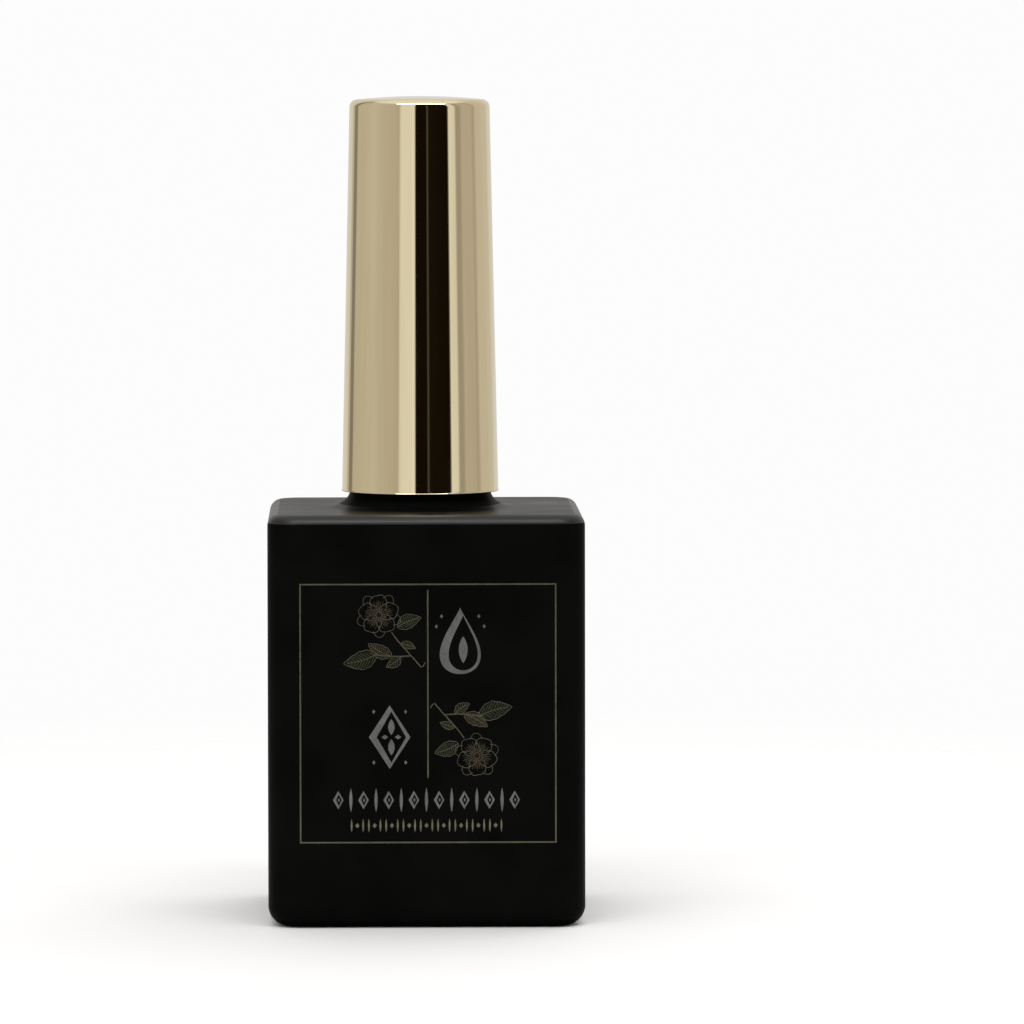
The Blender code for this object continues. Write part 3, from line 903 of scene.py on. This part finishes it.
class Pen:
    """Draws lines and washes in a turned and moved frame."""

    def __init__(self, x, z, degrees):
        self.place = turned((x, z), degrees)
        self.parts = []
        self.green = []
        self.red = []

    def line(self, points, width, closed=False):
        """A drawn line along points."""
        self.parts.append(ribbon([self.place(*p) for p in points], width, closed))

    def wash(self, points):
        """A filled shape along points, below the lines."""
        return raised([self.place(*p) for p in points], WASH_Y)

    def leaf(self, root, degrees, length, breadth, veins=9, blush=False):
        """A pointed leaf: outline, bent midrib and close side veins."""
        straight = turned(root, degrees)

        def place(u, v):
            return straight(u, v + 0.10 * breadth * math.sin(math.pi * u / length))

        edges = []
        steps = 24
        for side in (1, -1):
            edge = []
            for i in range(steps + 1):
                t = i / steps
                swell = math.sin(math.pi * t ** 0.8) ** 0.9 if 0 < i < steps else 0.0
                ripple = 0.035 * math.sin(9.0 * math.pi * t) * swell
                edge.append(place(length * t, side * (breadth * 0.5 * swell + ripple)))
            self.line(edge, SPRIG_LINE)
            edges.append(edge)
        washes = self.red if blush else self.green
        washes.append(self.wash(edges[0] + edges[1][-2:0:-1]))
        self.line([place(length * i / 10.0, 0.0) for i in range(10)], SPRIG_LINE)
        for k in range(veins):
            t = 0.1 + 0.74 * k / (veins - 1)
            reach = breadth * 0.42 * math.sin(math.pi * (t + 0.06) ** 0.8)
            for side in (1, -1):
                self.line([place(length * t, 0.0),
                           place(length * t + reach * 0.42, side * reach * 0.55),
                           place(length * t + reach * 0.9, side * reach)],
                          SPRIG_LINE * 0.55)

    def petal(self, middle, degrees, inner, outer, breadth):
        """A broad petal with a wavy lip and fine lines from its foot."""
        place = turned(middle, degrees)
        lip = []
        steps = 32
        for i in range(steps + 1):
            t = -1.0 + 2.0 * i / steps
            swell = 1.0 - abs(t) ** 2.6
            u = inner + (outer - inner) * swell + 0.07 * math.sin(6.0 * t + degrees) * swell
            lip.append(place(u, breadth * t * (0.55 + 0.45 * min(1.0, swell * 1.6))))
        self.line(lip, SPRIG_LINE)
        for k in range(7):
            t = (k - 3) / 3.0
            reach = 0.38 + 0.2 * math.cos(t * 1.4) + 0.08 * (k % 2)
            self.line([place(inner, breadth * t * 0.28),
                       place(inner + (outer - inner) * reach * 0.6, breadth * t * 0.5),
                       place(inner + (outer - inner) * reach, breadth * t * 0.62)],
                      SPRIG_LINE * 0.5)


def blossom(pen, middle, size, turn):
    """An open five-petal blossom, a second row behind it, and stamens."""
    for k in range(5):
        pen.petal(middle, turn + 72.0 * k, 0.30 * size, 1.32 * size, 0.80 * size)
    for k in range(5):
        angle = math.radians(turn + 36.0 + 72.0 * k)
        tips = [polar(middle, (1.5 - 0.022 * i * i) * size, angle + i * 0.085)
                for i in range(-4, 5)]
        pen.line(tips, 0.03)
    ring = [polar(middle, 0.2 * size, 2 * math.pi * i / 20) for i in range(20)]
    pen.line(ring, SPRIG_LINE, closed=True)
    star = []
    for k in range(40):
        reach = (0.62 + 0.26 * math.cos(k * math.pi * 0.25)) * size
        star.append(polar(middle, reach, math.radians(turn + 9.0 * k)))
    pen.red.append(pen.wash(star))
    for k in range(14):
        angle = 2 * math.pi * (k + 0.3) / 14
        inner, outer = 0.24 * size, (0.44 + 0.1 * (k % 2)) * size
        pen.line([polar(middle, inner, angle), polar(middle, outer, angle)], 0.024)


def sprig(x, z, degrees):
    """A generic sprig: blossom, stalk and a few leaves, 8 mm long."""
    pen = Pen(x, z, degrees)
    for shift in (-0.035, 0.035):
        pen.line(bezier((3.5 + shift, -3.2), (2.6 + shift, -2.0), (1.6 + shift, -1.2),
                        (0.75 + shift, 0.1)), 0.032)
        pen.line(bezier((2.6, -2.1 + shift), (1.3, -2.25 + shift), (0.2, -2.15 + shift),
                        (-0.9, -1.95 + shift)), 0.032)
    pen.line([(3.45, -3.2), (3.72, -3.08), (3.9, -2.75)], 0.06)
    pen.leaf((-0.6, -1.95), 196.0, 3.3, 1.7)
    pen.leaf((0.75, -2.15), 152.0, 2.5, 1.25, blush=True)
    pen.leaf((1.6, -2.2), 216.0, 1.7, 0.95, veins=6)
    pen.leaf((1.3, 0.6), 22.0, 2.4, 1.35)
    pen.leaf((1.6, -0.95), -18.0, 1.5, 0.7, veins=6)
    blossom(pen, (-0.45, 1.75), 1.42, 20.0)
    return joined(pen.parts), joined(pen.green), joined(pen.red)


def lozenge_outline(x, z, half_w, half_h):
    """The four corners of a lozenge."""
    return [(x, z + half_h), (x + half_w, z), (x, z - half_h), (x - half_w, z)]


def diamond(x, z, half_w, half_h):
    """A small solid lozenge."""
    return raised(lozenge_outline(x, z, half_w, half_h))


def spindle(x, z, half_w, half_h, steps=14):
    """A solid almond, pointed at the top and bottom."""
    right = []
    left = []
    for i in range(steps + 1):
        t = i / steps
        w = half_w * math.sin(math.pi * t) ** 0.8 if 0 < i < steps else 0.01
        height = z - half_h + 2 * half_h * t
        right.append((x + w, height))
        left.append((x - w, height))
    return raised(right + left[::-1])


def drop_outline(x, z, half_w, half_h, count=72):
    """A drop with its point at the top."""
    points = []
    for i in range(count):
        angle = 2.0 * math.pi * i / count
        pinch = math.sin(angle / 2.0) ** 1.5
        points.append((x + half_w * math.sin(angle) * pinch, z + half_h * math.cos(angle)))
    return points


def ornament_drop(x, z):
    """A drop of thick and thin line round a leaf, between four specks."""
    outer = drop_outline(x, z, 2.75, 3.15)
    inner = drop_outline(x + 0.28, z - 0.18, 1.95, 2.62)
    parts = [strip(outer, inner), spindle(x + 0.28, z - 0.85, 0.42, 1.25)]
    for dx, dz in ((-1.75, 2.3), (1.75, 2.3), (-2.25, 1.35), (2.25, 1.35)):
        parts.append(diamond(x + dx, z + dz, 0.15, 0.2))
    return joined(parts)


def ornament_lozenge(x, z):
    """A lozenge of thick and thin line round four small petals."""
    outer = lozenge_outline(x, z, 1.95, 3.0)
    inner = lozenge_outline(x + 0.16, z, 1.38, 2.42)
    parts = [strip(outer, inner)]
    for side in (-1, 1):
        parts.append(spindle(x + 0.16, z + side * 0.95, 0.3, 0.75))
        parts.append(diamond(x + 0.16 + side * 0.62, z, 0.32, 0.22))
        parts.append(diamond(x + side * 1.5, z + 2.4, 0.15, 0.2))
        parts.append(diamond(x + side * 1.5, z - 2.4, 0.15, 0.2))
    return joined(parts)


def ornament_rule(x0, x1, z):
    """A row of open lozenges, each round a small one, and upright spindles."""
    parts = []
    count = 15
    for k in range(count):
        x = x0 + 0.45 + (x1 - x0 - 0.9) * k / (count - 1)
        if k % 2:
            parts.append(spindle(x, z, 0.15, 1.12))
        else:
            inner = lozenge_outline(x + 0.05, z, 0.27, 0.56)
            parts.append(strip(lozenge_outline(x, z, 0.5, 0.86), inner))
            parts.append(diamond(x + 0.05, z, 0.1, 0.2))
    return joined(parts)


def dotted_rule(x0, x1, z):
    """A row of small upright dashes, every third one a small lozenge instead."""
    parts = []
    count = 27
    for k in range(count):
        x = x0 + (x1 - x0) * k / (count - 1)
        if k % 3 == 1:
            parts.append(diamond(x, z, 0.2, 0.24))
        else:
            parts.append(spindle(x, z, 0.09, 0.62, 8))
    return joined(parts)


def make_print(gold_ink, frame_ink, silver_ink, green_wash, red_wash):
    """The front's printed decoration, generic and without lettering."""
    frame_parts = [box_frame(*FRAME_BOX, FRAME_LINE), ribbon(DIVIDER, DIVIDER_LINE)]
    make("print_frame", joined(frame_parts), frame_ink, "bottle")
    for name, x, z, degrees in SPRIGS:
        lines, green, red = sprig(x, z, degrees)
        make("print_sprig_" + name, lines, gold_ink, "bottle")
        make("print_leaves_" + name, green, green_wash, "bottle")
        make("print_heart_" + name, red, red_wash, "bottle")
    make("print_drop", ornament_drop(*DROP_PLACE), silver_ink, "bottle")
    make("print_lozenge", ornament_lozenge(*LOZENGE_PLACE), silver_ink, "bottle")
    make("print_rule", ornament_rule(*RULE_PLACE), silver_ink, "bottle")
    make("print_dots", dotted_rule(*DOTS_PLACE), gold_ink, "bottle")


# --------------------------------------------------------------------- stage

# The floor's half width, and the distances over which it fades, in metres
FLOOR_REACH = 0.34
FLOOR_FADE = (0.06, 0.20)


def make_floor():
    """A plain pale floor that fades into the white round the bottle."""
    mesh = bpy.data.meshes.new("floor")
    corners = ((-1, -1), (1, -1), (1, 1), (-1, 1))
    mesh.from_pydata([(x * FLOOR_REACH, y * FLOOR_REACH, 0.0) for x, y in corners], [],
                     [(0, 1, 2, 3)])
    m = Nodes("floor_paper")
    m.set(Roughness=0.9, Specular_IOR_Level=0.1)
    m.base(m.colors(m.noise(30.0), [(0.3, (0.885, 0.885, 0.883)), (0.7, (0.90, 0.90, 0.898))]))
    distance = m.tree.nodes.new("ShaderNodeVectorMath")
    distance.operation = "LENGTH"
    m.link(m.coord.outputs["Object"], distance.inputs[0])
    fade = m.ranged(distance.outputs["Value"], 1.0, 0.0, *FLOOR_FADE)
    m.link(fade, m.shader.inputs["Alpha"])
    mesh.materials.append(m.material)
    floor = bpy.data.objects.new("floor", mesh)
    bpy.context.scene.collection.objects.link(floor)
    floor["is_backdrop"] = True


# Azimuth in degrees from straight in front, + to the right, and the brightness
# of the studio there: cards, gaps and the pale room behind.
STUDIO = (
    (-180.0, 0.76), (-141.0, 0.82), (-140.0, 0.62), (-133.0, 0.60), (-132.0, 0.30),
    (-122.0, 0.30), (-121.0, 0.60), (-113.0, 0.66), (-80.0, 0.70), (-34.0, 0.60),
    (-30.5, 0.96), (-13.0, 0.97), (-11.0, 1.10), (-8.5, 0.9), (-7.0, 0.008),
    (10.0, 0.008), (11.2, 0.085), (12.3, 0.085), (13.5, 0.012), (46.0, 0.008),
    (47.5, 0.95), (58.0, 0.90), (61.0, 0.45), (68.0, 0.46), (72.0, 0.62),
    (91.0, 0.60), (97.0, 0.50), (104.0, 0.70), (139.0, 0.74), (142.0, 0.82),
    (180.0, 0.76),
)

# The room overhead, the table below and the white that the camera sees, and the
# heights of a direction between which the first two take over
OVERHEAD = (1.05, 1.05, 1.05)
OVERHEAD_RISE = (0.68, 0.86)
BELOW = (0.5, 0.5, 0.5)
BELOW_FALL = (-0.072, -0.12)
BACKDROP = (0.979, 0.979, 0.978)


def card_color(level):
    """A card's colour, warmer where it is dim and warmest in the dark gaps."""
    warm = 0.3 if level < 0.02 else 1.0 - 0.13 * min(1.0, max(0.0, (0.9 - level) / 0.3))
    return level, level * (0.5 + 0.5 * warm), level * warm, 1.0


def round_studio(tree, axes):
    """The cards round the object, as one ramp over the azimuth."""
    toward = math_node(tree, "MULTIPLY", axes.outputs["Y"], -1.0)
    azimuth = math_node(tree, "ARCTAN2", axes.outputs["X"], toward)
    turn = math_node(tree, "ADD", math_node(tree, "DIVIDE", azimuth, 2.0 * math.pi), 0.5)
    ramp = tree.nodes.new("ShaderNodeValToRGB")
    stops = ramp.color_ramp.elements
    while len(stops) < len(STUDIO):
        stops.new(0.5)
    for stop, (degrees, level) in zip(stops, STUDIO):
        stop.position = degrees / 360.0 + 0.5
        stop.color = card_color(level)
    tree.links.new(turn, ramp.inputs["Fac"])
    return ramp.outputs["Color"]


def by_height(tree, axes, start, end):
    """0 to 1, smoothly, as the direction's height goes from start to end."""
    node = tree.nodes.new("ShaderNodeMapRange")
    node.interpolation_type = "SMOOTHSTEP"
    node.inputs["From Min"].default_value = start
    node.inputs["From Max"].default_value = end
    tree.links.new(axes.outputs["Z"], node.inputs["Value"])
    return node.outputs["Result"]


def overlaid(tree, color, factor, top):
    """A colour with a plain one over it where the factor is 1."""
    mix = tree.nodes.new("ShaderNodeMix")
    mix.data_type = "RGBA"
    tree.links.new(factor, mix.inputs["Factor"])
    tree.links.new(color, mix.inputs[6])
    mix.inputs[7].default_value = (*top, 1.0)
    return mix.outputs[2]


def make_world():
    """The studio round the object, and plain white for the camera."""
    world = bpy.data.worlds.new("studio")
    bpy.context.scene.world = world
    world.use_nodes = True
    tree = world.node_tree
    tree.nodes.clear()
    coord = tree.nodes.new("ShaderNodeTexCoord")
    axes = tree.nodes.new("ShaderNodeSeparateXYZ")
    tree.links.new(coord.outputs["Generated"], axes.inputs["Vector"])
    color = round_studio(tree, axes)
    color = overlaid(tree, color, by_height(tree, axes, *OVERHEAD_RISE), OVERHEAD)
    color = overlaid(tree, color, by_height(tree, axes, *BELOW_FALL), BELOW)
    path = tree.nodes.new("ShaderNodeLightPath")
    color = overlaid(tree, color, path.outputs["Is Camera Ray"], BACKDROP)
    background = tree.nodes.new("ShaderNodeBackground")
    tree.links.new(color, background.inputs["Color"])
    output = tree.nodes.new("ShaderNodeOutputWorld")
    tree.links.new(background.outputs["Background"], output.inputs["Surface"])


def add_light(name, place, aim, size, energy, mirrored=True):
    """A rectangular soft light aimed at a point."""
    data = bpy.data.lights.new(name, "AREA")
    data.shape = "RECTANGLE"
    data.size, data.size_y = size
    data.energy = energy
    obj = bpy.data.objects.new(name, data)
    obj.location = place
    obj.rotation_euler = (Vector(aim) - Vector(place)).to_track_quat("-Z", "Y").to_euler()
    obj.visible_glossy = mirrored
    bpy.context.scene.collection.objects.link(obj)


def make_lights():
    """A strip high in front for the shoulder's edge, and a broad light from behind."""
    add_light("front_top", (0.02, -0.46, 0.72), (0.0, 0.0, 0.03), (1.0, 0.2), 3.2)
    add_light("key", (0.24, 0.50, 0.60), (0.0, 0.0, 0.0), (0.9, 0.9), 1.75, False)


# The camera's distance and height in metres, its turns in degrees, its sensor
# and lens in millimetres, and its shift in widths of the picture
CAMERA_AWAY = 0.650
CAMERA_UP = 0.08175
CAMERA_YAW = 0.583
CAMERA_PITCH = 2.5
CAMERA_ROLL = 0.11
SENSOR_WIDTH = 36.0
LENS = 238.5
CAMERA_SHIFT = (0.0853, -0.1522)


def make_camera():
    """A long lens a little above the bottle, almost level."""
    yaw, pitch, roll = (math.radians(a) for a in (CAMERA_YAW, CAMERA_PITCH, CAMERA_ROLL))
    data = bpy.data.cameras.new("camera")
    data.sensor_width = SENSOR_WIDTH
    data.lens = LENS
    data.shift_x, data.shift_y = CAMERA_SHIFT
    data.clip_start = 0.01
    data.clip_end = 20.0
    camera = bpy.data.objects.new("camera", data)
    camera.location = (-CAMERA_AWAY * math.sin(yaw), -CAMERA_AWAY * math.cos(yaw), CAMERA_UP)
    look = Matrix.Rotation(-yaw, 4, "Z") @ Matrix.Rotation(math.pi / 2.0 - pitch, 4, "X")
    camera.rotation_euler = (look @ Matrix.Rotation(-roll, 4, "Z")).to_euler()
    bpy.context.scene.collection.objects.link(camera)
    bpy.context.scene.camera = camera


def bottle_coats():
    """The bottle's coats, in the order of their indexes."""
    return (
        lacquer("lacquer_wall", 0.008, (0.34, 0.41),
                (0.0030, 0.0030, 0.0028), (0.0043, 0.0043, 0.0040)),
        neck_lacquer(),
        lacquer("lacquer_shoulder", 0.10, (0.36, 0.43)),
        lacquer("lacquer_edge", 0.45, (0.36, 0.42)),
        # Painted shade at the foot: darker and less glossy than the wall's coat.
        lacquer("lacquer_foot_painted_shade", 0.004, (0.40, 0.47),
                (0.0016, 0.0016, 0.0015), (0.0024, 0.0024, 0.0022)),
    )


def coat_metals():
    """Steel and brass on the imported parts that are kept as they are."""
    steel = metal("ball_steel", (0.52, 0.52, 0.53), (0.62, 0.62, 0.62), (0.12, 0.2))
    brass = metal("staple_brass", (0.62, 0.45, 0.18), (0.74, 0.56, 0.26), (0.25, 0.4))
    metals = {"mixing_ball_1": steel, "mixing_ball_2": steel, "tuft_staple": brass}
    for name, material in metals.items():
        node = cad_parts[name]
        node.data.materials.clear()
        node.data.materials.append(material)


def build():
    """Everything, in order."""
    white = plastic("closure_plastic", (0.72, 0.72, 0.69), (0.80, 0.80, 0.77))
    rod_white = plastic("rod_plastic", (0.66, 0.66, 0.62), (0.74, 0.74, 0.70), (0.3, 0.42), 0.25)
    liquid = gel("gel_liquid", (0.0085, 0.0175, 0.066), (0.0125, 0.0245, 0.088))
    wet = gel("gel_film", (0.0075, 0.016, 0.062), (0.012, 0.024, 0.086), 0.8)
    make_bottle(bottle_coats())
    make_gel(liquid)
    make_cap(gold(), white, foam())
    make_stem(rod_white, wet)
    make_tuft(nylon(), wet)
    make_print(
        ink("gold_ink", (0.15, 0.141, 0.093), (0.23, 0.217, 0.145), (0.32, 0.46)),
        ink("frame_ink", (0.100, 0.095, 0.063), (0.160, 0.151, 0.103), (0.32, 0.46)),
        ink("silver_ink", (0.138, 0.138, 0.138), (0.225, 0.225, 0.226), (0.32, 0.46)),
        tint("green_wash", (0.003, 0.0045, 0.002), (0.014, 0.0185, 0.008)),
        tint("red_wash", (0.008, 0.0052, 0.0033), (0.032, 0.021, 0.0135)),
    )
    coat_metals()
    make_floor()
    make_world()
    make_lights()
    make_camera()
    bpy.context.scene.view_settings.view_transform = "Standard"


build()
plain = [[list(corner) for corner in box] for box in (CAD_BOX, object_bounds())]
